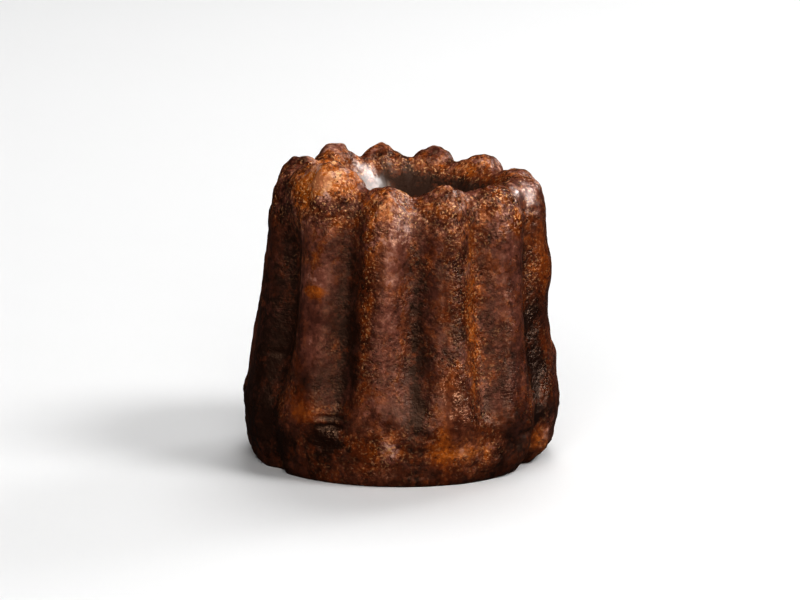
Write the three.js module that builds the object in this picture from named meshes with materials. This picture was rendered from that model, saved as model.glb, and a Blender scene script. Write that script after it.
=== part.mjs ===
// A canelé: a small fluted cake baked in a copper mould, standing on its wide end.
// Millimetres, +Z up. The origin is the middle of the flat base that it stands on.
// An angle is measured round +Z from the front (-Y), and grows towards the right (+X).
//
// The surface is a loft. One meridian follows a rib and another follows a groove, from the foot, up the
// side, over the scalloped rim and down into the hollow of the top. Between the two, the surface follows
// the rounded section of a flute. Each rib has its own place, height and reach, because the cake swells
// and browns unevenly.
import * as THREE from 'three';

// Driving dimensions
const WIDEST_RADIUS = 27.0;   // over the ribs, where the flutes meet the foot band
const BASE_RADIUS = 25.2;     // of the flat face that it stands on
const BAND_HEIGHT = 10.5;     // of the foot band below the flutes
const HEIGHT = 50.4;          // to the tip of an average rib
const TIP_RADIUS = 19.0;      // from the axis to the tip of a rib
const FLUTE_DEPTH = 2.8;      // from the face of a rib to the bottom of a groove
const SADDLE_DEPTH = 2.0;     // from the tip of a rib down to the saddle beside it
const HOLLOW_DEPTH = 11.0;    // of the hollow in the top, below the tips
const LEAN = 1.3;             // how far the top stands to the right of the base

// How broad a rib is beside its grooves: higher is broader. It narrows towards the crown.
const SIDE_POWER = 1.6;
const CROWN_POWER = 1.0;

// Steps of the faceted surface
const STEPS_PER_FLUTE = 12;
const STEPS_ALONG = 40;

const RAD = Math.PI / 180;

// The twelve ribs. angle: degrees from the front. The rest is in millimetres. tip: how far the tip stands
// over the average, saddle: how far the saddle after it does, and reach: how far its face stands out.
const RIBS = [
  { angle: -11, tip: 0.0, saddle: 0.0, reach: 0.0 },
  { angle: 18.5, tip: 0.1, saddle: 0.3, reach: 0.0 },
  { angle: 47, tip: -0.7, saddle: 0.4, reach: 0.3 },
  { angle: 79, tip: -0.9, saddle: -0.4, reach: 0.2 },
  { angle: 107, tip: -1.7, saddle: -1.2, reach: 0.1 },
  { angle: 137, tip: -0.8, saddle: -0.4, reach: -0.1 },
  { angle: 166.5, tip: -0.3, saddle: 0.0, reach: 0.0 },
  { angle: 195, tip: 0.3, saddle: 0.4, reach: 0.1 },
  { angle: 221, tip: 1.1, saddle: 0.9, reach: 0.3 },
  { angle: 254, tip: 0.6, saddle: 1.3, reach: 0.8 },
  { angle: 286, tip: 1.4, saddle: 4.0, reach: 0.8 },
  { angle: 319, tip: 3.8, saddle: 0.8, reach: 0.3 },
];

// Local swellings and dents of the crust. angle and spread: degrees round. The rest is in millimetres.
// height: of its middle, tall: from its middle to its edge, out and up: how far it moves the surface.
const LUMPS = [
  { angle: 84, spread: 16, height: 33, tall: 7, out: 0.8, up: 0 },
  { angle: 92, spread: 14, height: 25, tall: 2.5, out: -0.5, up: 0 },
  { angle: 90, spread: 16, height: 18, tall: 4.5, out: 0.6, up: 0 },
  { angle: 270, spread: 20, height: 11, tall: 2.5, out: 0.5, up: 0 },
  { angle: -26, spread: 10, height: 9.6, tall: 2.0, out: -0.7, up: 0 },
  { angle: -57, spread: 13, height: 48, tall: 12, out: 1.9, up: 0 },    // joins two ribs at the crown
  { angle: -31, spread: 10, height: 50, tall: 8, out: 0, up: 1.4 },
  { angle: 58, spread: 12, height: 44, tall: 20, out: 0.9, up: 0 },
  { angle: -58, spread: 9, height: 3, tall: 12, out: -1.5, up: 0 },     // folds down through the foot band
  { angle: 62, spread: 9, height: 3, tall: 12, out: -2.2, up: 0 },
];

const at = (radius, height) => new THREE.Vector2(radius, height);

// Meridians, from the edge of the base to the middle of the hollow, point for point beside each other.
const faceRadius = WIDEST_RADIUS - 3.4;   // of the ribs, just below the rim
const hollow = HEIGHT - HOLLOW_DEPTH;
const ribMeridian = new THREE.SplineCurve([
  at(BASE_RADIUS, 0),
  at(WIDEST_RADIUS - 1.1, 1.2),
  at(WIDEST_RADIUS - 0.7, 5.0),
  at(WIDEST_RADIUS, BAND_HEIGHT),
  at(WIDEST_RADIUS - 0.6, 16),
  at(WIDEST_RADIUS - 1.6, 23),
  at(WIDEST_RADIUS - 2.4, 31),
  at(WIDEST_RADIUS - 3.0, 38),
  at(faceRadius, HEIGHT - 6.5),
  at(faceRadius - 1.0, HEIGHT - 2.6),
  at(TIP_RADIUS + 2.2, HEIGHT - 0.7),
  at(TIP_RADIUS, HEIGHT),
  at(TIP_RADIUS - 2.0, HEIGHT - 1.0),
  at(TIP_RADIUS - 4.0, HEIGHT - 3.6),
  at(TIP_RADIUS - 6.0, HEIGHT - 6.8),
  at(9.0, hollow + 1.6),
  at(4.5, hollow + 0.4),
  at(0, hollow),
]);
const grooveMeridian = new THREE.SplineCurve([
  at(BASE_RADIUS, 0),
  at(WIDEST_RADIUS - 1.2, 1.2),
  at(WIDEST_RADIUS - 0.9, 4.6),
  at(WIDEST_RADIUS - 0.8, BAND_HEIGHT - 0.8),
  at(WIDEST_RADIUS - 0.7 * FLUTE_DEPTH - 0.5, BAND_HEIGHT + 3.6),
  at(WIDEST_RADIUS - FLUTE_DEPTH - 1.3, 21),
  at(WIDEST_RADIUS - FLUTE_DEPTH - 2.4, 31),
  at(WIDEST_RADIUS - FLUTE_DEPTH - 3.0, 38),
  at(faceRadius - FLUTE_DEPTH + 0.1, HEIGHT - 7.2),
  at(faceRadius - FLUTE_DEPTH - 0.5, HEIGHT - 4.2),
  at(TIP_RADIUS - 0.2, HEIGHT - SADDLE_DEPTH - 0.5),
  at(TIP_RADIUS - 1.8, HEIGHT - SADDLE_DEPTH),
  at(TIP_RADIUS - 3.4, HEIGHT - SADDLE_DEPTH - 0.9),
  at(TIP_RADIUS - 5.0, HEIGHT - 5.4),
  at(TIP_RADIUS - 6.8, HEIGHT - 8.0),
  at(9.0, hollow + 1.6),
  at(4.5, hollow + 0.4),
  at(0, hollow),
]);

const mix = (a, b, share) => a + (b - a) * share;

// How far the section is from groove (0) to rib (1), where share runs from one rib (0) to the next (1).
function fluteSection(share, crown) {
  const fromRib = (1 - Math.cos(2 * Math.PI * share)) / 2;
  return 1 - Math.pow(fromRib, mix(SIDE_POWER, CROWN_POWER, crown));
}

// A smooth hump: 1 in the middle, and 0 from the given distance on.
function hump(distance, edge) {
  return 1 - THREE.MathUtils.smoothstep(Math.abs(distance), 0, edge);
}

// The shorter way from one angle to another, in degrees.
function turnBetween(from, to) {
  return ((to - from) % 360 + 540) % 360 - 180;
}

// A slow unevenness all over, in millimetres outwards. The angle is in degrees.
function unevenness(angle, height) {
  const round = angle * RAD;
  const up = height / HEIGHT;
  return 0.20 * Math.sin(2 * round + 0.6 + 1.4 * up)
    + 0.18 * Math.sin(3 * round - 1.1 + 5.0 * up)
    + 0.15 * Math.sin(5 * round + 2.2 - 9.0 * up);
}

// How far the lumps move the surface at this angle and height.
function lumps(angle, height) {
  const moved = { out: 0, up: 0 };
  for (const lump of LUMPS) {
    const away = Math.hypot(turnBetween(lump.angle, angle) / lump.spread, (height - lump.height) / lump.tall);
    moved.out += lump.out * hump(away, 1);
    moved.up += lump.up * hump(away, 1);
  }
  return moved;
}

// How far the edge of the base is tucked under, on the right, where the foot has baked away from the mould.
function tuck(angle, height) {
  return 1.9 * hump(turnBetween(72, angle), 50) * hump(height, 3.5);
}

// A point of the surface. rib: which rib, share: how far round towards the next, along: 0 to 1 up the meridian.
function surfacePoint(rib, share, along) {
  const here = RIBS[rib];
  const next = RIBS[(rib + 1) % RIBS.length];
  const turn = (next.angle - here.angle + 360) % 360;
  const angle = here.angle + share * turn;
  const onRib = ribMeridian.getPoint(along);
  const inGroove = grooveMeridian.getPoint(along);
  const crown = THREE.MathUtils.smoothstep(onRib.y, HEIGHT * 0.8, HEIGHT);
  const section = fluteSection(share, crown);
  const middle = THREE.MathUtils.smoothstep(onRib.x, 0, 12);
  const foot = THREE.MathUtils.smoothstep(mix(inGroove.y, onRib.y, section), 0, 6);

  const rise = here.tip * hump(share, 0.55) + next.tip * hump(1 - share, 0.55)
    + here.saddle * hump(share - 0.5, 0.45);
  const evenHeight = mix(inGroove.y, onRib.y, section) + rise * crown * middle;
  const moved = lumps(angle, evenHeight);
  const reach = mix(here.reach, next.reach, THREE.MathUtils.smoothstep(share, 0, 1));
  const radius = mix(inGroove.x, onRib.x, section) - tuck(angle, evenHeight)
    + ((reach + unevenness(angle, evenHeight)) * foot + moved.out) * middle;
  const height = evenHeight + moved.up * crown * middle;
  const lean = LEAN * height / HEIGHT;
  const round = angle * RAD;
  return new THREE.Vector3(radius * Math.sin(round) + lean, -radius * Math.cos(round), height);
}

function caneleGeometry() {
  const around = RIBS.length * STEPS_PER_FLUTE;
  const positions = [0, 0, 0];
  for (let i = 0; i < STEPS_ALONG; i++) {
    for (let j = 0; j < around; j++) {
      const rib = Math.floor(j / STEPS_PER_FLUTE);
      const share = (j % STEPS_PER_FLUTE) / STEPS_PER_FLUTE;
      const point = surfacePoint(rib, share, i / STEPS_ALONG);
      positions.push(point.x, point.y, point.z);
    }
  }
  const last = surfacePoint(0, 0, 1);
  positions.push(last.x, last.y, last.z);

  const vertex = (ring, step) => 1 + ring * around + (step % around);
  const middleOfHollow = 1 + STEPS_ALONG * around;
  const triangles = [];
  for (let j = 0; j < around; j++) {
    triangles.push(0, vertex(0, j + 1), vertex(0, j));
    for (let i = 0; i < STEPS_ALONG - 1; i++) {
      triangles.push(vertex(i, j), vertex(i, j + 1), vertex(i + 1, j + 1));
      triangles.push(vertex(i, j), vertex(i + 1, j + 1), vertex(i + 1, j));
    }
    triangles.push(vertex(STEPS_ALONG - 1, j), vertex(STEPS_ALONG - 1, j + 1), middleOfHollow);
  }
  const geometry = new THREE.BufferGeometry();
  geometry.setAttribute('position', new THREE.Float32BufferAttribute(positions, 3));
  geometry.setIndex(triangles);
  geometry.computeVertexNormals();
  return geometry;
}

const crust = new THREE.MeshStandardMaterial({ color: 0x4a2416, roughness: 0.4, metalness: 0 });

const canele = new THREE.Mesh(caneleGeometry(), crust);
canele.name = 'canele';

const part = new THREE.Group();
part.add(canele);

export default part;
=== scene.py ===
"""A canelé with a glossy caramelised crust, on a white floor in soft studio light.

The crust is a fine lofted mesh on the same named sizes as the solid that it replaces. It adds the relief
that is too small for the solid. Sizes of the cake are in millimetres, and the mesh is turned into metres at
the end. Lamps and the camera are placed in metres. An angle is in degrees round +Z from the front (-Y), and
grows towards the right (+X).
"""
import math

import bpy
import numpy as np
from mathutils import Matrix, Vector, noise


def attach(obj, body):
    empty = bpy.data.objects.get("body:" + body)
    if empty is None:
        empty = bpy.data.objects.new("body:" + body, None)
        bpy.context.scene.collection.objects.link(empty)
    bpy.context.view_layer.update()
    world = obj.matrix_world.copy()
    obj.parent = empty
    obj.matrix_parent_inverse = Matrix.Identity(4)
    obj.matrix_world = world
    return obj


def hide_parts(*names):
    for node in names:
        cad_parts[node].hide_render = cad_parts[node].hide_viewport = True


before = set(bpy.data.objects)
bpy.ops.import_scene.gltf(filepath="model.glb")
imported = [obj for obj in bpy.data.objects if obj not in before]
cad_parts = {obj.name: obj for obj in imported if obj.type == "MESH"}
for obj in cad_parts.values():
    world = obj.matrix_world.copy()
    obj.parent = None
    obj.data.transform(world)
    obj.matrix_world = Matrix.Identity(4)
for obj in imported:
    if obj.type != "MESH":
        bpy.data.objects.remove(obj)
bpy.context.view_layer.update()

MM = 0.001

# ---------------------------------------------------------------- sizes of the cake, as in the solid
WIDEST_RADIUS = 27.0    # over the ribs, where the flutes meet the foot band
BASE_RADIUS = 25.2      # of the flat face that it stands on
BAND_HEIGHT = 10.5      # of the foot band below the flutes
HEIGHT = 50.4           # to the tip of an average rib
TIP_RADIUS = 19.0       # from the axis to the tip of a rib
FLUTE_DEPTH = 2.8       # from the face of a rib to the bottom of a groove
SADDLE_DEPTH = 2.0      # from the tip of a rib down to the saddle beside it
HOLLOW_DEPTH = 11.0     # of the hollow in the top, below the tips
LEAN = 1.3              # how far the top stands to the right of the base
SIDE_POWER = 1.6        # how broad a rib is beside its grooves: higher is broader
CROWN_POWER = 1.0       # the same at the crown
CROWN_START = 0.8       # how far up the crown begins, as a share of the height
TIP_SPREAD = 0.55       # how far a tip's own height reaches, as a share of the way to the next rib
SADDLE_SPREAD = 0.45    # the same for a saddle, to either side of it
MIDDLE_FADE = 12        # nearer to the axis than this, ribs and swellings fade out
FOOT_FADE = 6           # below this height, the unevenness fades out

# The edge of the base is tucked under on the right
TUCK = 1.9
TUCK_ANGLE = 72
TUCK_SPREAD = 50
TUCK_HEIGHT = 3.5

# The ribs. angle, height of the tip, height of the saddle after it, and reach of its face, over the average.
# Those that face the camera are counted from the left: the first is at 286 (-74) and the sixth at 79.
RIBS = [
    (-11, 0.0, 0.0, 0.0),
    (18.5, 0.1, 0.3, 0.0),
    (47, -0.7, 0.4, 0.3),
    (79, -0.9, -0.4, 0.2),
    (107, -1.7, -1.2, 0.1),
    (137, -0.8, -0.4, -0.1),
    (166.5, -0.3, 0.0, 0.0),
    (195, 0.3, 0.4, 0.1),
    (221, 1.1, 0.9, 0.3),
    (254, 0.6, 1.3, 0.8),
    (286, 1.4, 4.0, 0.8),
    (319, 3.8, 0.8, 0.3),
]

# Swellings and dents. angle, spread, height, tall, how far out, how far up
LUMPS = [
    (84, 16, 33, 7, 0.8, 0),
    (92, 14, 25, 2.5, -0.5, 0),
    (90, 16, 18, 4.5, 0.6, 0),
    (270, 20, 11, 2.5, 0.5, 0),
    (-26, 10, 9.6, 2.0, -0.7, 0),
    (-57, 13, 48, 12, 1.9, 0),
    (-31, 10, 50, 8, 0, 1.4),
    (58, 12, 44, 20, 0.9, 0),
    (-58, 9, 3, 12, -1.5, 0),
    (62, 9, 3, 12, -2.2, 0),
]

# A slow unevenness all over. how far out, waves round the cake, where they start, how they turn with height
WAVES = [
    (0.20, 2, 0.6, 1.4),
    (0.18, 3, -1.1, 5.0),
    (0.15, 5, 2.2, -9.0),
]

# Radius and height, from the edge of the base to the middle of the hollow
FACE_RADIUS = WIDEST_RADIUS - 3.4
HOLLOW = HEIGHT - HOLLOW_DEPTH
RIB_MERIDIAN = [
    (BASE_RADIUS, 0),
    (WIDEST_RADIUS - 1.1, 1.2),
    (WIDEST_RADIUS - 0.7, 5.0),
    (WIDEST_RADIUS, BAND_HEIGHT),
    (WIDEST_RADIUS - 0.6, 16),
    (WIDEST_RADIUS - 1.6, 23),
    (WIDEST_RADIUS - 2.4, 31),
    (WIDEST_RADIUS - 3.0, 38),
    (FACE_RADIUS, HEIGHT - 6.5),
    (FACE_RADIUS - 1.0, HEIGHT - 2.6),
    (TIP_RADIUS + 2.2, HEIGHT - 0.7),
    (TIP_RADIUS, HEIGHT),
    (TIP_RADIUS - 2.0, HEIGHT - 1.0),
    (TIP_RADIUS - 4.0, HEIGHT - 3.6),
    (TIP_RADIUS - 6.0, HEIGHT - 6.8),
    (9.0, HOLLOW + 1.6),
    (4.5, HOLLOW + 0.4),
    (0, HOLLOW),
]
GROOVE_MERIDIAN = [
    (BASE_RADIUS, 0),
    (WIDEST_RADIUS - 1.2, 1.2),
    (WIDEST_RADIUS - 0.9, 4.6),
    (WIDEST_RADIUS - 0.8, BAND_HEIGHT - 0.8),
    (WIDEST_RADIUS - 0.7 * FLUTE_DEPTH - 0.5, BAND_HEIGHT + 3.6),
    (WIDEST_RADIUS - FLUTE_DEPTH - 1.3, 21),
    (WIDEST_RADIUS - FLUTE_DEPTH - 2.4, 31),
    (WIDEST_RADIUS - FLUTE_DEPTH - 3.0, 38),
    (FACE_RADIUS - FLUTE_DEPTH + 0.1, HEIGHT - 7.2),
    (FACE_RADIUS - FLUTE_DEPTH - 0.5, HEIGHT - 4.2),
    (TIP_RADIUS - 0.2, HEIGHT - SADDLE_DEPTH - 0.5),
    (TIP_RADIUS - 1.8, HEIGHT - SADDLE_DEPTH),
    (TIP_RADIUS - 3.4, HEIGHT - SADDLE_DEPTH - 0.9),
    (TIP_RADIUS - 5.0, HEIGHT - 5.4),
    (TIP_RADIUS - 6.8, HEIGHT - 8.0),
    (9.0, HOLLOW + 1.6),
    (4.5, HOLLOW + 0.4),
    (0, HOLLOW),
]
TIP_PLACE = RIB_MERIDIAN.index((TIP_RADIUS, HEIGHT)) / (len(RIB_MERIDIAN) - 1)   # along the meridian, 0 to 1

# The heights, or the places along the meridian, between which a zone of the cake begins or ends
OUTSIDE_ENDS = (TIP_PLACE, TIP_PLACE + 0.08)
RIM_BEGINS = (HEIGHT - 11, HEIGHT - 3)
RIM_ENDS = (TIP_PLACE + 0.10, TIP_PLACE + 0.25)
BAND_ENDS = (BAND_HEIGHT - 1, BAND_HEIGHT + 3)
DEEP_BEGINS = (2.5, 5.5)   # below the tips
HOLLOW_FLOOR_ENDS = (HOLLOW + 1.0, HOLLOW + 3.5)

# ---------------------------------------------------------------- fineness of the crust's mesh
STEPS_PER_FLUTE = 42
ROWS = 188
HOLLOW_ROW_SHARE = 0.55    # how dense the rows are in the hollow, beside those on the side
HOLLOW_ROW_RADIUS = TIP_RADIUS - 5
SPLINE_SAMPLES = 4000      # for measuring the meridian's length

# ---------------------------------------------------------------- relief that is too small for the solid
# Sizes of its features, and how high they stand. MORE is added times how rough the crust is there
SWELL_SIZE = 7.0
SWELL_HEIGHT = 0.22
LUMP_SIZE = 2.6
LUMP_HEIGHT = 0.08
LUMP_MORE = 0.30
CRAG_SIZE = 1.1
CRAG_HEIGHT = 0.05
CRAG_MORE = 0.20
CRAG_TOP = 0.25            # where its tops are levelled, as a share
BLISTER_SIZE = 1.9
BLISTER_MORE = 0.40
BLISTER_EDGE = 0.45        # how far a blister reaches from its middle, as a share of its size
SMOOTH = 0.25              # how rough the sides are. The rim and the foot band are rougher
RIM_ROUGHER = 0.75
BAND_ROUGHER = 0.55
WET_SMOOTHER = 0.85        # how much of the relief the wet glaze fills
FLAT_FOOT = 1.5            # the relief fades out below this height
SEED_SHIFT = (17.3, 5.1, 9.7)    # how far apart in the noise two seeds are

# Creases in the crust, in millimetres outwards, and the swelling below two of them
CREASES = [
    (-62, 8, 20, 0.9, -0.3),
    (-29, 10, 9.9, 0.7, -0.35),
    (-28, 10, 11.4, 0.7, -0.40),
    (-26, 10, 9.0, 2.8, 0.55),
    (10, 7, 8.6, 0.7, -0.25),
    (52, 8, 7.4, 0.8, -0.35),
]

# ---------------------------------------------------------------- what is painted on the crust
# Each painted value is the sum of a plain value, uneven patches (size, seed and strength), what each zone of
# the cake adds, and listed spots.
PLAIN = {"tone": 0.42, "amber": 0.16, "glaze": 0.95, "mauve": 0.40, "bumpy": 0.40}
PATCHES = {
    "tone": (9.0, 5, 0.22),
    "amber": (5.0, 7, 0.45),
    "glaze": (4.0, 6, 0.9),
    "mauve": (6.0, 8, 0.8),
    "bumpy": (4.5, 9, 0.5),
}
# In the tone, the rim is lighter as a painted highlight from above, the outer grooves are darker with darker
# crust and painted shade, and deep in the hollow it is much darker as painted shade, which amber makes
# redder
IN_ZONES = {
    "tone": {"rim": 0.22, "band": -0.10, "outer groove": -0.08, "inside": -0.02, "deep": -0.50,
             "hollow floor": 0.38},
    "amber": {"groove": 0.20, "band": 0.20, "inside": 0.3, "deep": 0.8, "hollow floor": -0.6},
    "glaze": {"groove": -1.0, "band": -0.2},
    "mauve": {"band": -0.35, "inside": -0.4},
    "bumpy": {"rough": 0.6, "band": -0.42, "groove": 0.25},
}
BUMPY_LEAST = 0.15
BUMPY_MOST = 1.2
RIM_GLISTEN = 0.45
GLAZED_ANGLE = 60          # the side that is glazed most
GLAZED_BEGINS = (-0.55, 0.1)    # by the cosine of the angle from that side
LEAST_GLAZE = 0.25         # on the far side from it, as a share
INSIDE_GLAZE = 0.3         # in the hollow, as a share
FLOOR_DEPTH = 0.6          # how much less deep the floor of the hollow counts than its wall

# The values at the middle of the base and at the middle of the hollow, where they aren't 0
MIDDLES = {"tone": (0.4, 0.28), "depth": (0, 0.4), "bumpy": (0.5, 0.5)}

# The spots. angle and spread in degrees round, height of the middle, from there to the edge, and how much
# the middle gets. First how light the crust is: its own tone, and where marked, painted shade and painted
# highlights.
SHADES = [
    # the rim
    # painted shade on the rim behind the left lobe
    (-97, 24, 51, 5, -0.45),
    (-45, 30, 51.2, 4.4, 0.38),     # top of the left lobe, painted lighter: a painted highlight from above
    (-38, 16, 46.5, 4, -0.32),
    (18, 9, 47, 4, -0.18),
    (20, 9, 48, 4, -0.12),
    (46, 12, 48, 4, -0.20),
    (70, 14, 46, 5, -0.15),
    # the ribs
    (-66, 26, 25, 45, -0.34),       # burnt, and painted shade on the side away from the light
    (-48.5, 1.8, 34, 14, 0.34),     # painted highlight along a sharp edge
    (-39, 9, 27, 20, 0.12),
    (-39, 7, 32.4, 1.4, 0.16),      # amber spot
    (-40, 12, 17, 5, -0.30),
    # the edge of the groove beside the third rib darker: darker crust and painted shade in its hollow
    (-20, 5, 27, 22, -0.22),
    (-8, 8, 26, 14, 0.08),
    # the upper face of the third rib painted lighter: a painted highlight
    (-6, 10, 39, 13, 0.36),
    (44, 9, 38, 8, 0.16),
    (58, 1.8, 26, 24, 0.40),        # painted highlight along a sharp edge
    (68, 11, 20, 14, -0.34),
    (73, 12, 36, 9, 0.14),
    # the grooves: the darker ones have darker crust and painted shade in their hollows
    (-28, 7, 45, 2.5, -0.10),
    (-26, 7, 28, 30, -0.26),
    (5, 6, 14, 5, -0.12),
    (5, 7, 22, 24, -0.32),
    (29, 8, 30, 21, 0.36),          # amber groove beside the fourth rib
    (29, 6, 45.5, 2.5, -0.25),
    # the foot
    (-50, 12, 5, 8, -0.20),
    (-37, 8, 11.8, 2.4, 0.10),
    (-30, 12, 6.5, 5, -0.30),
    (-29, 10, 9.9, 0.9, -0.35),     # crease, darkened with painted shade
    (-28, 10, 11.4, 0.9, -0.35),    # crease, darkened with painted shade
    (-16, 8, 5, 5, -0.05),
    # painted highlight on the foot below the third rib
    (-5, 6, 6.8, 4.2, 0.50),
    (14, 9, 6, 5, 0.24),
    (28, 14, 5, 5, 0.44),
    (36, 10, 5, 5, 0.12),
    (46, 14, 9, 8, -0.22),
    (62, 6, 9, 3, -0.30),
    (68, 10, 5, 5, 0.42),
]

# The same on the inner side of the rim: a darker tip at the back, and below it painted shade on the rear
# wall of the hollow
INNER_SHADES = [
    (196, 15, 48.5, 6, -0.40),
    (182, 10, 45, 4, -0.42),
]

# How amber it is
AMBERS = [
    # the rim
    # more peach on the top of the left lobe, as part of its painted highlight
    (-45, 26, 50, 6, 0.60),
    (18, 9, 47, 4, 0.9),
    (47, 10, 47.5, 4, 0.4),
    # the ribs
    (-40, 12, 14, 6, 0.6),
    (-39, 7, 32.4, 1.4, 3.0),       # amber spot
    (-16, 6, 30, 22, 0.40),
    # less amber on the upper face of the third rib, with its painted highlight
    (-6, 9, 40, 9, -0.25),
    (17, 7, 26, 18, 0.25),
    (17, 6, 34, 10, 0.4),
    (52, 5, 43.5, 3, 0.9),
    (67, 12, 18, 13, 1.0),
    (73, 13, 34, 9, 1.2),
    # the grooves
    (-28, 7, 45, 2.8, 1.5),
    (29, 8.5, 28, 24, 0.9),         # amber groove beside the fourth rib
    # the foot
    (-38, 9, 11.8, 2.8, 0.9),
    (-14, 8, 5, 5, 0.6),
    # less amber in the painted highlight on the foot
    (-5, 6, 6.5, 3.5, -0.8),
    (14, 8, 6.5, 5, 0.7),
    (63, 6, 4.6, 3, 0.9),
]

# How much of it is a smooth greyish mauve: the crust's own hue in random places, and a painted sheen on the
# faces of the ribs, on the rim at the right and on the foot
MAUVES = [
    # the rim
    (18, 9, 47, 4, -0.5),
    (47, 10, 47.5, 4, -0.4),
    # painted sheen on the rim at the right
    (70, 14, 46.5, 4.5, 1.2),
    # the ribs
    # painted sheen on the face of the second rib
    (-41, 14, 26, 22, 0.8),
    (-40, 12, 14, 6, -0.6),
    (-39, 8, 32.4, 2.0, -1.0),      # amber spot
    (-17, 6, 28, 22, -0.6),
    # painted sheen on the face of the third rib
    (-7, 9, 25, 14, 0.9),
    # painted highlight on the upper face of the third rib
    (-5, 8, 38, 8, 0.4),
    # painted sheen on the face of the fifth rib
    (41, 11, 24, 17, 0.65),
    (72, 16, 28, 26, -1.0),
    # the grooves
    (8, 7, 38, 9, 0.35),
    (28, 7, 30, 22, -0.8),          # amber groove beside the fourth rib
    # the foot
    # painted highlight on the foot below the third rib
    (-5, 6, 6.8, 4.2, 0.6),
    (46, 12, 8, 8, 0.4),
]

# How strong its fine bumps are
BUMPY = [
    # the ribs
    (-39, 8, 32.4, 2.0, -0.3),      # amber spot
    (-38, 15, 28, 22, -0.50),
    (-16, 6, 28, 22, 0.5),
    (-6, 9, 40, 8, -0.3),
    (22, 8, 36, 12, 0.5),
    (41, 8, 34, 10, -0.2),
    (66, 12, 20, 16, -0.2),
    # the grooves
    (29, 8, 28, 24, 0.5),           # amber groove beside the fourth rib
    # the foot
    (-5, 6, 6.8, 4.2, 0.5),
    (20, 8, 14, 8, -0.2),
    (41, 12, 12, 8, -0.25),
]

# How much its bumps glisten. There the golden specks are also painted stronger, as painted glints
GLISTENING = [
    # the rim
    (-40, 14, 48, 6, 0.6),
    (-3, 10, 44.5, 7, 1.0),
    (20, 9, 43, 8, 0.6),
    (50, 12, 46, 6, 0.7),
    # the ribs
    (-15, 6, 30, 22, 0.4),
    (22, 8, 33, 12, 0.5),
    (66, 11, 20, 16, 0.8),
    # the foot
    (-27, 12, 8, 6, 0.8),
    (-5, 9, 6.5, 6, 0.9),
    (20, 8, 16, 8, 0.6),
    (35, 12, 6, 5, 0.5),
    (84, 10, 14, 8, 0.6),
]

# Smooth wet glaze on the rear wall of the hollow, on the rim at the right and on the third rib
WET = [
    (211, 10, 46.3, 4.2, 1.3),
    (205, 10, 44.5, 3.8, 0.9),
    (199, 10, 42.5, 4.2, 1.3),
    (68, 14, 46.5, 4.5, 1.0),
    (-1, 6, 45.2, 4.5, 0.50),
]

# Fine level wrinkles across a face
WRINKLES = [
    (42, 12, 13, 9, 1.2),
    (-32, 12, 8, 5, 0.8),
    (18, 12, 12, 6, 0.6),
    (-60, 14, 30, 12, 0.7),
    (110, 14, 16, 9, 1.0),
    (180, 16, 14, 10, 1.0),
    (250, 16, 18, 9, 1.0),
]

# ---------------------------------------------------------------- colours and gloss of the crust
# The darkest crust: burnt, and also the colour of the painted shade in the grooves and the hollow
BURNT_AND_SHADED = (0.019, 0.0042, 0.0016)
MAHOGANY = (0.083, 0.0205, 0.0085)
CARAMEL = (0.190, 0.057, 0.025)
PEACH = (0.50, 0.190, 0.080)
GOLD = (0.85, 0.52, 0.25)
PLUM = (0.078, 0.0200, 0.0115)
MAUVE = (0.205, 0.067, 0.042)
ROSE = (0.66, 0.38, 0.29)
DARK_AMBER = (0.13, 0.024, 0.0030)
TAWNY = (0.27, 0.066, 0.0065)
AMBER = (0.52, 0.150, 0.016)
# pale gold of sugar specks, painted with their glints as painted highlights
SUGAR_GLINT = (0.85, 0.48, 0.22)
# the dark of the pores: painted shade in small pits
PIT = (0.034, 0.009, 0.0035)

# From dark to light, for each kind of crust. The darkest also colours painted shade, the lightest painted
# highlights, and the mauve shades are partly a painted sheen
BROWNS = [(0.05, BURNT_AND_SHADED), (0.38, MAHOGANY), (0.62, CARAMEL), (0.85, PEACH), (1.0, GOLD)]
MAUVE_SHADES = [(0.05, BURNT_AND_SHADED), (0.38, PLUM), (0.65, MAUVE), (1.0, ROSE)]
ORANGES = [(0.05, BURNT_AND_SHADED), (0.37, DARK_AMBER), (0.63, TAWNY), (0.86, AMBER), (1.0, PEACH)]

# How strongly the crust is mottled and speckled. BUMPY is added where its bumps are strong
MOTTLING = 0.34
BUMPY_MOTTLING = 0.45
SPECKLING = 0.30
BUMPY_SPECKLING = 0.62
# how dark the pores are painted, as shade in them
PORE_DARKNESS = 0.62
LEAST_GOLDEN = 0.06

# Where a kind of crust begins and where it is full, by the sum that it depends on
# where the tone rises above that of burnt crust and painted shade
UNBURNT_AND_UNSHADED_FROM = (0.0, 0.42)
MAUVE_FROM = (0.75, 1.35)
AMBER_FROM = (0.10, 0.95)
SUGAR_GLINT_FROM = (0.56, 0.70)
CRUST_FROM = (0.06, 0.30)  # outwards from the middle of a pore

# How much each texture or painted value adds to a sum
IN_PATCHY = {"grain hue": 0.30, "patch hue": 0.40}
IN_SHADE = {"grain shade": 0.16, "patch shade": 0.24}
IN_MAUVE = {"hue": 1.2, "patchy": -1.6}
IN_AMBER = {"mottle": 0.5, "patchy": 1.1}
# how strong the golden specks with painted glints are, most where it glistens
IN_GOLDEN = {"amberness": 0.36, "glisten": 0.45}
IN_PORE = {"grain size": 0.32, "speck": 0.7, "from middle": 1.0, "bumpy": -0.12}
IN_BUMPS = {"speck": 0.5, "fine": 0.25, "from middle": -0.35, "mottle": 0.8, "ripple": 1.6, "pore": -0.5}
IN_BUMP_STRENGTH = {"glisten": 0.3, "wet": -0.8}
IN_ROUGHNESS = {"unburnt_and_unshaded": -0.12, "glaze": -0.12, "mauveness": 0.12, "depth": 0.35, "glisten": -0.22,
                "wet": -0.30}

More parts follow.
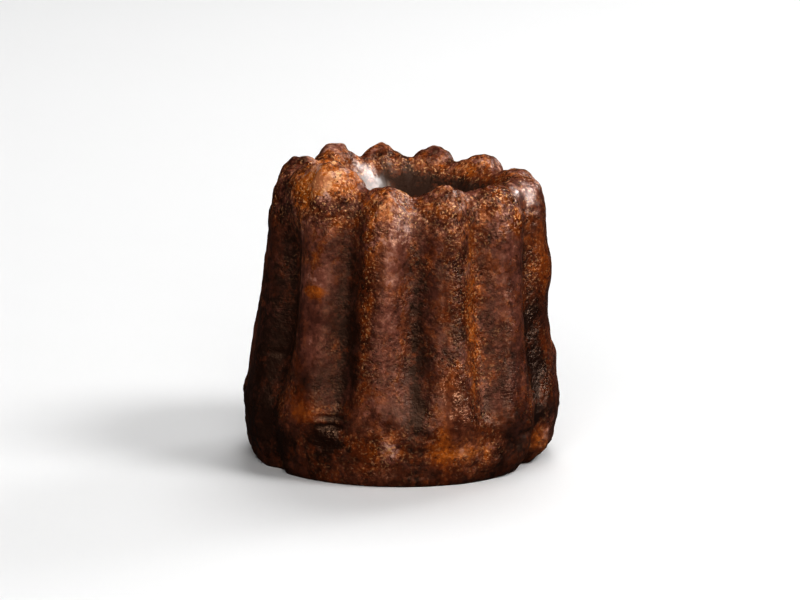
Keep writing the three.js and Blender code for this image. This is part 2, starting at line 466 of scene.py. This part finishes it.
UPRIGHT = (1, 1, 0.6)      # how places are scaled for a texture that runs up the side
LEVEL = (0.45, 0.45, 2.6)  # the same for one that runs round it
BUMP_HEIGHT = 0.00021      # metres
ROUGHNESS = 0.46
LEAST_ROUGHNESS = 0.18
GLOSS = {
    "Specular IOR Level": 0.54,
    "Specular Tint": (1.0, 0.71, 0.55, 1),
    "Coat Roughness": 0.34,
    "Coat IOR": 1.9,
}

# ---------------------------------------------------------------- the floor, light and camera
FLOOR_HALF = 3.0
# How much of the light the floor gives to the camera, to the cake and to the cake's gloss
FLOOR_WHITE = 0.80
FLOOR_BOUNCE = 0.32
FLOOR_GLOSS = 0.03

WHITE = (1.0, 1.0, 1.0)
WARM = (1.0, 0.86, 0.72)
ROSY = (1.0, 0.66, 0.48)
LIT_POINT = Vector((0, 0, 0.025))
ROOM_LIGHT = 0.18
GAMMA = 0.80

CAMERA_DISTANCE = 1.0
CAMERA_ELEVATION = math.radians(12.5)
CAMERA_LENS = 261.7        # millimetres
CAMERA_NEAR = 0.01
LOOK_AT = Vector((-0.00026, 0, 0.02676))


# ---------------------------------------------------------------- the smooth form
def smoothstep(x, low, high):
    t = np.clip((x - low) / (high - low), 0, 1)
    return t * t * (3 - 2 * t)


def hump(distance, edge):
    """1 in the middle, and 0 from the edge on."""
    return 1 - smoothstep(np.abs(distance), 0, edge)


def mix(a, b, share):
    return a + (b - a) * share


def turn_between(start, end):
    """The shorter way from one angle to another."""
    return (end - start + 180) % 360 - 180


def spot_share(angle, height, spot_angle, spread, middle, tall):
    """1 in the middle of an oval spot, and 0 from its edge on."""
    return hump(np.hypot(turn_between(spot_angle, angle) / spread, (height - middle) / tall), 1)


def on_spline(points, along):
    """Points of the Catmull-Rom curve through the given points. along runs from 0 to 1."""
    points = np.array(points, float)
    last = len(points) - 1
    place = np.asarray(along) * last
    start = np.minimum(place.astype(int), last)
    t = (place - start)[..., None]
    p0 = points[np.maximum(start - 1, 0)]
    p1 = points[start]
    p2 = points[np.minimum(start + 1, last)]
    p3 = points[np.minimum(start + 2, last)]
    v0 = (p2 - p0) / 2
    v1 = (p3 - p1) / 2
    return ((2 * p1 - 2 * p2 + v0 + v1) * t ** 3 + (-3 * p1 + 3 * p2 - 2 * v0 - v1) * t ** 2
            + v0 * t + p1)


def row_places():
    """Where the rows lie along the meridians: evenly spaced in length, and wider apart in the hollow."""
    along = np.linspace(0, 1, SPLINE_SAMPLES)
    path = on_spline(RIB_MERIDIAN, along)
    lengths = np.hypot(*np.diff(path, axis=0).T)
    in_hollow = (path[1:, 0] < HOLLOW_ROW_RADIUS) & (path[1:, 1] > 1)
    lengths = lengths * np.where(in_hollow, HOLLOW_ROW_SHARE, 1)
    so_far = np.concatenate([[0], np.cumsum(lengths)])
    wanted = np.arange(ROWS) / ROWS * so_far[-1]
    return np.interp(wanted, so_far, along)


def unevenness(angle, height):
    turn = np.radians(angle)
    up = height / HEIGHT
    return sum(out * np.sin(waves * turn + start + rise * up) for out, waves, start, rise in WAVES)


def lumps(angle, height):
    """How far the lumps move the surface out and up."""
    out, up = 0, 0
    for lump_angle, spread, middle, tall, reach, rise in LUMPS:
        share = spot_share(angle, height, lump_angle, spread, middle, tall)
        out = out + reach * share
        up = up + rise * share
    return out, up


def loft():
    """The smooth form: points (rows, steps, 3), and for each the angle, groove and place along."""
    ribs = np.array(RIBS, float)
    following = np.roll(ribs, -1, axis=0)
    steps = len(RIBS) * STEPS_PER_FLUTE
    rib = np.arange(steps) // STEPS_PER_FLUTE
    share = (np.arange(steps) % STEPS_PER_FLUTE) / STEPS_PER_FLUTE
    here, then = ribs[rib], following[rib]
    angle = here[:, 0] + share * ((then[:, 0] - here[:, 0]) % 360)
    from_rib = (1 - np.cos(2 * np.pi * share)) / 2

    along = row_places()
    on_rib = on_spline(RIB_MERIDIAN, along)[:, None, :]
    in_groove = on_spline(GROOVE_MERIDIAN, along)[:, None, :]
    crown = smoothstep(on_rib[..., 1], HEIGHT * CROWN_START, HEIGHT)
    section = 1 - from_rib ** mix(SIDE_POWER, CROWN_POWER, crown)
    middle = smoothstep(on_rib[..., 0], 0, MIDDLE_FADE)
    plain_height = mix(in_groove[..., 1], on_rib[..., 1], section)
    foot = smoothstep(plain_height, 0, FOOT_FADE)

    rise = (here[:, 1] * hump(share, TIP_SPREAD) + then[:, 1] * hump(1 - share, TIP_SPREAD)
            + here[:, 2] * hump(share - 0.5, SADDLE_SPREAD))
    height = plain_height + rise * crown * middle
    lump_out, lump_up = lumps(angle, height)
    reach = mix(here[:, 3], then[:, 3], smoothstep(share, 0, 1))
    tuck = TUCK * hump(turn_between(TUCK_ANGLE, angle), TUCK_SPREAD) * hump(height, TUCK_HEIGHT)
    radius = (mix(in_groove[..., 0], on_rib[..., 0], section) - tuck
              + ((reach + unevenness(angle, height)) * foot + lump_out) * middle)
    height = height + lump_up * crown * middle
    turn = np.radians(angle)
    x = radius * np.sin(turn) + LEAN * height / HEIGHT
    y = -radius * np.cos(turn)
    points = np.stack([x, y, height], axis=-1)
    angle, groove, along = (np.broadcast_to(values, height.shape)
                            for values in (angle, 1 - section, along[:, None]))
    return points, angle, groove, along


def grid_normals(points):
    """Outward normals of a grid that closes round its second axis."""
    round_it = np.roll(points, -1, axis=1) - np.roll(points, 1, axis=1)
    up_it = np.gradient(points, axis=0)
    normals = np.cross(round_it, up_it)
    return normals / np.linalg.norm(normals, axis=-1, keepdims=True)


def find_zones(height, groove, along):
    """How much each point belongs to each zone of the cake, from 0 to 1."""
    outside = 1 - smoothstep(along, *OUTSIDE_ENDS)
    inside = 1 - outside
    rim = smoothstep(height, *RIM_BEGINS) * (1 - smoothstep(along, *RIM_ENDS))
    band = (1 - smoothstep(height, *BAND_ENDS)) * outside
    return {
        "outside": outside,
        "inside": inside,
        "rim": rim,
        "band": band,
        "rough": np.clip(SMOOTH + RIM_ROUGHER * rim + BAND_ROUGHER * band, 0, 1),
        "groove": groove,
        "outer groove": groove * outside,
        "deep": smoothstep(HEIGHT - height, *DEEP_BEGINS) * inside,
        "hollow floor": (1 - smoothstep(height, *HOLLOW_FLOOR_ENDS)) * inside,
    }


# ---------------------------------------------------------------- the crust's mesh
def sampled(points, size, seed, kind=noise.noise):
    """Noise with features of the given size, in millimetres, at each point."""
    shift = Vector([seed * step for step in SEED_SHIFT])
    flat = [kind(Vector(p) / size + shift) for p in points.reshape(-1, 3)]
    return np.array(flat).reshape(points.shape[:-1])


def nearest_cell(place):
    """The distance to the nearest of some scattered points."""
    return noise.voronoi(place)[0][0]


class Surface:
    """The crust's surface: the smooth form, the relief on it, and what is painted on it."""

    def __init__(self):
        smooth, self.angle, groove, along = loft()
        self.height = smooth[..., 2]
        self.zones = find_zones(self.height, groove, along)
        self.wet = np.clip(self.spots(WET), 0, 1)
        self.points = smooth + grid_normals(smooth) * self.relief(smooth)[..., None]

    def spots(self, table):
        """The sum of the spots in a table, at each point."""
        return sum(amount * spot_share(self.angle, self.height, *spot) for *spot, amount in table)

    def relief(self, points):
        """How far the relief moves the surface out."""
        rough = self.zones["rough"]
        swell = sampled(points, SWELL_SIZE, seed=1)
        lump = sampled(points, LUMP_SIZE, seed=2)
        crag = np.minimum(sampled(points, CRAG_SIZE, seed=3), CRAG_TOP)
        blister = BLISTER_EDGE - sampled(points, BLISTER_SIZE, seed=4, kind=nearest_cell)
        relief = (SWELL_HEIGHT * swell + (LUMP_HEIGHT + LUMP_MORE * rough) * lump
                  + (CRAG_HEIGHT + CRAG_MORE * rough) * crag)
        relief = relief + BLISTER_MORE * np.clip(rough - SMOOTH, 0, 1) * blister
        relief = relief * (1 - WET_SMOOTHER * self.wet) + self.spots(CREASES) * self.zones["outside"]
        return relief * smoothstep(self.height, 0, FLAT_FOOT)

    def unspotted(self, name):
        """A painted value without its spots."""
        size, seed, strength = PATCHES[name]
        total = PLAIN[name] + strength * sampled(self.points, size, seed)
        for zone, amount in IN_ZONES[name].items():
            total = total + amount * self.zones[zone]
        return total

    def painted(self):
        """All painted values, by name."""
        outside = self.zones["outside"]
        inside = self.zones["inside"]
        tone = self.unspotted("tone") + self.spots(SHADES) * outside + self.spots(INNER_SHADES) * inside
        amber = self.unspotted("amber") + self.spots(AMBERS) * outside
        glazed_side = smoothstep(np.cos(np.radians(self.angle - GLAZED_ANGLE)), *GLAZED_BEGINS)
        glaze = np.clip(self.unspotted("glaze"), 0, 1) * mix(LEAST_GLAZE, 1, glazed_side)
        glisten = self.spots(GLISTENING) * outside + RIM_GLISTEN * self.zones["rim"]
        return {
            "tone": tone,
            "amber": np.clip(amber, 0, 1),
            "glaze": glaze * mix(1, INSIDE_GLAZE, inside),
            "glisten": np.clip(glisten, 0, 1),
            "wet": self.wet,
            "depth": self.zones["deep"] - FLOOR_DEPTH * self.zones["hollow floor"],
            "wrinkle": np.clip(self.spots(WRINKLES), 0, 1) * outside,
            "mauve": np.clip(self.unspotted("mauve") + self.spots(MAUVES), 0, 1),
            "bumpy": np.clip(self.unspotted("bumpy") + self.spots(BUMPY), BUMPY_LEAST, BUMPY_MOST),
        }


def closed_mesh(name, points):
    """A mesh of the grid, closed by a fan to the middle of the base and one to the middle of the hollow."""
    rows, steps = points.shape[:2]
    top_middle = points[-1].mean(axis=0)
    vertices = np.concatenate([[(0, 0, 0)], points.reshape(-1, 3), [top_middle]]) * MM
    here = 1 + np.arange(rows - 1)[:, None] * steps + np.arange(steps)[None, :]
    beside = np.roll(here, -1, axis=1)
    faces = np.stack([here, beside, beside + steps, here + steps], axis=-1).reshape(-1, 4).tolist()
    last_row = 1 + (rows - 1) * steps
    top = len(vertices) - 1
    for j in range(steps):
        k = (j + 1) % steps
        faces.append((0, 1 + k, 1 + j))
        faces.append((last_row + j, last_row + k, top))
    mesh = bpy.data.meshes.new(name)
    mesh.from_pydata(vertices.tolist(), [], faces)
    mesh.polygons.foreach_set("use_smooth", np.ones(len(mesh.polygons), bool))
    return mesh


def crust_mesh():
    surface = Surface()
    mesh = closed_mesh("canele_crust", surface.points)
    for name, values in surface.painted().items():
        base, middle = MIDDLES.get(name, (0, 0))
        whole = np.concatenate([[base], values.reshape(-1), [middle]])
        mesh.attributes.new(name, "FLOAT", "POINT").data.foreach_set("value", whole.astype(np.float32))
    mesh.update()
    return mesh


# ---------------------------------------------------------------- the crust's material
class Nodes:
    """Short calls for building a node tree."""

    def __init__(self, material):
        self.tree = material.node_tree
        self.tree.nodes.clear()

    def add(self, kind, **settings):
        node = self.tree.nodes.new(kind)
        for name, value in settings.items():
            setattr(node, name, value)
        return node

    def link(self, source, target):
        self.tree.links.new(source, target)

    def math(self, operation, *values):
        node = self.add("ShaderNodeMath", operation=operation)
        for socket, value in zip(node.inputs, values):
            if isinstance(value, (int, float)):
                socket.default_value = value
            else:
                self.link(value, socket)
        return node.outputs[0]

    def centred(self, value):
        """A value that runs from 0 to 1, moved to run from -0.5 to 0.5."""
        return self.math("SUBTRACT", value, 0.5)

    def total(self, start, maps, amounts):
        """start, and on it each named map times its amount."""
        for name, amount in amounts.items():
            start = self.math("MULTIPLY_ADD", maps[name], amount, start)
        return start

    def held(self, value):
        """The value, held between 0 and 1."""
        node = self.add("ShaderNodeClamp")
        self.link(value, node.inputs["Value"])
        return node.outputs["Result"]

    def noise(self, vector, scale, detail, roughness, distortion=0.0):
        node = self.add("ShaderNodeTexNoise")
        node.inputs["Scale"].default_value = scale
        node.inputs["Detail"].default_value = detail
        node.inputs["Roughness"].default_value = roughness
        node.inputs["Distortion"].default_value = distortion
        self.link(vector, node.inputs["Vector"])
        return node.outputs["Fac"]

    def scaled(self, vector, scale):
        node = self.add("ShaderNodeVectorMath", operation="MULTIPLY")
        self.link(vector, node.inputs[0])
        node.inputs[1].default_value = scale
        return node.outputs["Vector"]

    def bent(self, vector, scale, amount):
        """vector moved about by noise, so that what is drawn on it gets ragged edges."""
        wobble = self.add("ShaderNodeTexNoise")
        wobble.inputs["Scale"].default_value = scale
        self.link(vector, wobble.inputs["Vector"])
        node = self.add("ShaderNodeVectorMath", operation="MULTIPLY_ADD")
        self.link(wobble.outputs["Color"], node.inputs[0])
        node.inputs[1].default_value = (amount, amount, amount)
        self.link(vector, node.inputs[2])
        return node.outputs["Vector"]

    def cells(self, vector, scale):
        """The distance to the nearest of some scattered points, and three numbers that belong to it."""
        node = self.add("ShaderNodeTexVoronoi", feature="F1")
        node.inputs["Scale"].default_value = scale
        self.link(vector, node.inputs["Vector"])
        own = self.add("ShaderNodeSeparateColor")
        self.link(node.outputs["Color"], own.inputs[0])
        return node.outputs["Distance"], own.outputs[0], own.outputs[1], own.outputs[2]

    def ramp(self, factor, stops):
        node = self.add("ShaderNodeValToRGB")
        elements = node.color_ramp.elements
        while len(elements) < len(stops):
            elements.new(0.5)
        for element, (place, colour) in zip(elements, stops):
            element.position = place
            element.color = (*colour, 1)
        self.link(factor, node.inputs["Fac"])
        return node.outputs["Color"]

    def stretched(self, value, edges):
        """0 up to the first edge, 1 from the second on, and a smooth step between them."""
        node = self.add("ShaderNodeMapRange", interpolation_type="SMOOTHSTEP")
        node.inputs["From Min"].default_value, node.inputs["From Max"].default_value = edges
        self.link(value, node.inputs["Value"])
        return node.outputs["Result"]

    def mix(self, factor, a, b):
        node = self.add("ShaderNodeMix", data_type="RGBA")
        self.link(factor, node.inputs["Factor"])
        for socket, value in ((node.inputs[6], a), (node.inputs[7], b)):
            if isinstance(value, tuple):
                socket.default_value = (*value, 1)
            else:
                self.link(value, socket)
        return node.outputs[2]

    def attribute(self, name):
        return self.add("ShaderNodeAttribute", attribute_name=name).outputs["Fac"]


def crust_maps(n):
    """The painted values and the textures that the crust's looks are made of, by name."""
    names = ("tone", "amber", "glaze", "glisten", "wet", "depth", "wrinkle", "mauve", "bumpy")
    maps = {name: n.attribute(name) for name in names}
    coordinates = n.add("ShaderNodeTexCoord").outputs["Object"]
    place = n.scaled(coordinates, (1 / MM, 1 / MM, 1 / MM))
    upright = n.scaled(place, UPRIGHT)
    level = n.scaled(place, LEVEL)

    maps["unburnt_and_unshaded"] = n.stretched(maps["tone"], UNBURNT_AND_UNSHADED_FROM)
    maps["mottle"] = n.centred(n.noise(upright, scale=0.50, detail=3, roughness=0.55, distortion=0.2))
    maps["speck"] = n.centred(n.noise(place, scale=1.4, detail=3, roughness=0.65))
    maps["facet"] = n.noise(place, scale=1.7, detail=2, roughness=0.45)
    maps["fine"] = n.noise(place, scale=2.3, detail=1, roughness=0.5)
    maps["hue"] = n.noise(upright, scale=0.30, detail=3, roughness=0.6, distortion=0.4)
    ripple = n.noise(level, scale=1.0, detail=1, roughness=0.4, distortion=0.8)
    maps["ripple"] = n.math("MULTIPLY", ripple, maps["wrinkle"])

    # grains of crust, each a little domed and of a shade and hue of its own
    from_middle, size, shade, hue = n.cells(n.bent(place, scale=1.3, amount=0.8), scale=1.3)
    maps["from middle"] = from_middle
    maps["grain size"] = size
    maps["grain shade"] = n.centred(shade)
    maps["grain hue"] = n.centred(hue)

    # larger patches of crust, where it is bumpy
    _, _, shade, hue = n.cells(n.bent(place, scale=0.8, amount=1.8), scale=0.55)
    maps["patch shade"] = n.math("MULTIPLY", n.centred(shade), maps["bumpy"])
    maps["patch hue"] = n.math("MULTIPLY", n.centred(hue), maps["bumpy"])

    patch = n.centred(n.noise(place, scale=0.42, detail=2, roughness=0.5, distortion=0.5))
    maps["patchy"] = n.total(n.math("MULTIPLY", patch, maps["bumpy"]), maps, IN_PATCHY)
    return maps


def crust_colour(n, maps):
    """Brown, mauve and amber crust, the mauve partly a painted sheen, mottled and speckled, with golden
    specks carrying painted glints and pores painted dark as shade in pits.
    """
    mottling = n.math("MULTIPLY_ADD", maps["bumpy"], BUMPY_MOTTLING, MOTTLING)
    speckling = n.math("MULTIPLY_ADD", maps["bumpy"], BUMPY_SPECKLING, SPECKLING)
    shade = n.math("MULTIPLY_ADD", maps["mottle"], mottling, maps["tone"])
    shade = n.math("MULTIPLY_ADD", maps["speck"], speckling, shade)
    shade = n.total(shade, maps, IN_SHADE)
    maps["mauveness"] = n.stretched(n.total(maps["mauve"], maps, IN_MAUVE), MAUVE_FROM)
    maps["amberness"] = n.stretched(n.total(maps["amber"], maps, IN_AMBER), AMBER_FROM)
    colour = n.mix(maps["mauveness"], n.ramp(shade, BROWNS), n.ramp(shade, MAUVE_SHADES))
    colour = n.mix(maps["amberness"], colour, n.ramp(shade, ORANGES))

    # golden specks carrying painted glints, most where it is bumpy, amber or glistening, and none where it
    # is burnt or in painted shade
    glint_specks = n.math("MULTIPLY", maps["bumpy"], maps["unburnt_and_unshaded"])
    glint_specks = n.math("MULTIPLY", n.stretched(maps["fine"], SUGAR_GLINT_FROM), glint_specks)
    golden = n.total(LEAST_GOLDEN, maps, IN_GOLDEN)
    colour = n.mix(n.held(n.math("MULTIPLY", glint_specks, golden)), colour, SUGAR_GLINT)

    # pores of many sizes in the middle of grains, with ragged edges, painted dark as shade in the pits
    around = n.stretched(n.total(0.0, maps, IN_PORE), CRUST_FROM)
    maps["pore"] = n.math("SUBTRACT", 1, around)
    return n.mix(n.math("MULTIPLY", maps["pore"], PORE_DARKNESS), colour, PIT)


def crust_bump(n, maps):
    """Fine bumps. The wet glaze fills them."""
    bump = n.add("ShaderNodeBump")
    bump.inputs["Distance"].default_value = BUMP_HEIGHT
    n.link(n.held(n.total(maps["bumpy"], maps, IN_BUMP_STRENGTH)), bump.inputs["Strength"])
    n.link(n.total(maps["facet"], maps, IN_BUMPS), bump.inputs["Height"])
    return bump.outputs["Normal"]


def crust_material():
    material = bpy.data.materials.new("caramelised_crust")
    material.use_nodes = True
    n = Nodes(material)
    maps = crust_maps(n)
    shader = n.add("ShaderNodeBsdfPrincipled")
    n.link(crust_colour(n, maps), shader.inputs["Base Color"])
    n.link(crust_bump(n, maps), shader.inputs["Normal"])

    # burnt places, places in painted shade and mauve places are matt, glazed and glistening ones satin, and
    # wet ones glossy
    roughness = n.total(ROUGHNESS, maps, IN_ROUGHNESS)
    n.link(n.math("MAXIMUM", roughness, LEAST_ROUGHNESS), shader.inputs["Roughness"])
    n.link(maps["wet"], shader.inputs["Coat Weight"])
    for name, value in GLOSS.items():
        shader.inputs[name].default_value = value
    output = n.add("ShaderNodeOutputMaterial")
    n.link(shader.outputs[0], output.inputs["Surface"])
    return material


# ---------------------------------------------------------------- making the floor, light and camera
def add_object(name, data):
    obj = bpy.data.objects.new(name, data)
    bpy.context.scene.collection.objects.link(obj)
    return obj


def floor_material():
    """White paper to the camera. It throws back less light on the cake, like a floor of small extent."""
    material = bpy.data.materials.new("pale_floor")
    material.use_nodes = True
    n = Nodes(material)
    ray = n.add("ShaderNodeLightPath")
    white = n.math("MULTIPLY", ray.outputs["Is Camera Ray"], FLOOR_WHITE - FLOOR_GLOSS)
    white = n.math("MULTIPLY_ADD", ray.outputs["Is Diffuse Ray"], FLOOR_BOUNCE - FLOOR_GLOSS, white)
    paper = n.add("ShaderNodeBsdfDiffuse")
    n.link(n.math("ADD", white, FLOOR_GLOSS), paper.inputs["Color"])
    output = n.add("ShaderNodeOutputMaterial")
    n.link(paper.outputs[0], output.inputs["Surface"])
    return material


def make_floor():
    corners = [(x * FLOOR_HALF, y * FLOOR_HALF, 0) for x, y in ((-1, -1), (1, -1), (1, 1), (-1, 1))]
    mesh = bpy.data.meshes.new("floor")
    mesh.from_pydata(corners, [], [(0, 1, 2, 3)])
    mesh.materials.append(floor_material())
    floor = add_object("floor", mesh)


def area_light(name, place, size, power, colour=WHITE, matt=True, gloss=True):
    """A round lamp aimed at the cake. matt, gloss: whether it lights surfaces and shows in their gloss."""
    light = bpy.data.lights.new(name, "AREA")
    light.shape = "DISK"
    light.size = size
    light.energy = power
    light.color = colour
    obj = add_object(name, light)
    obj.location = place
    obj.rotation_euler = (LIT_POINT - Vector(place)).to_track_quat("-Z", "Y").to_euler()
    obj.visible_camera = False
    obj.visible_diffuse = matt
    obj.visible_glossy = gloss


def make_lights():
    area_light("key", (0.62, -0.28, 0.80), size=0.40, power=5.6)
    area_light("window", (0.66, 0.62, 0.45), size=0.30, power=2.6)
    area_light("overhead", (0.10, 0.50, 0.85), size=0.55, power=4.5, gloss=False)
    area_light("front", (-0.10, -1.05, 0.50), size=0.90, power=9.0, gloss=False)
    area_light("sheen_front", (-0.20, -1.05, 0.25), size=0.90, power=1.3, colour=ROSY, matt=False)
    area_light("glint_top", (-0.15, -0.55, 0.85), size=0.14, power=4.5, colour=WARM, matt=False)
    area_light("glint_left", (-0.55, -0.85, 0.75), size=0.12, power=4.0, colour=WARM, matt=False)
    area_light("glint_right", (0.80, -0.86, 0.26), size=0.12, power=3.0, colour=WARM, matt=False)
    area_light("glint_front", (-0.08, -1.20, 0.10), size=0.12, power=1.4, colour=WARM, matt=False)
    area_light("glint_rim", (0.90, -0.35, 0.34), size=0.19, power=2.2, matt=False)
    area_light("glaze", (0.62, -0.34, 0.67), size=0.55, power=3.0, matt=False)


def make_world():
    """An even room light, which doesn't show in the gloss."""
    world = bpy.data.worlds.new("studio")
    bpy.context.scene.world = world
    world.use_nodes = True
    background = world.node_tree.nodes["Background"]
    background.inputs["Color"].default_value = (*WHITE, 1)
    background.inputs["Strength"].default_value = ROOM_LIGHT
    world.cycles_visibility.glossy = False
    bpy.context.scene.view_settings.view_transform = "Standard"
    bpy.context.scene.view_settings.gamma = GAMMA


def make_camera():
    """The photograph's view: from the front, a little above, through a long lens."""
    camera = bpy.data.cameras.new("camera")
    camera.lens = CAMERA_LENS
    camera.clip_start = CAMERA_NEAR
    obj = add_object("camera", camera)
    back = Vector((0, -math.cos(CAMERA_ELEVATION), math.sin(CAMERA_ELEVATION)))
    obj.location = LOOK_AT + CAMERA_DISTANCE * back
    obj.rotation_euler = (math.pi / 2 - CAMERA_ELEVATION, 0, 0)
    bpy.context.scene.camera = obj


# ---------------------------------------------------------------- the scene
crust = add_object("canele_crust", crust_mesh())
crust.data.materials.append(crust_material())
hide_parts("canele")
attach(crust, "root")

make_floor()
make_lights()
make_world()
make_camera()
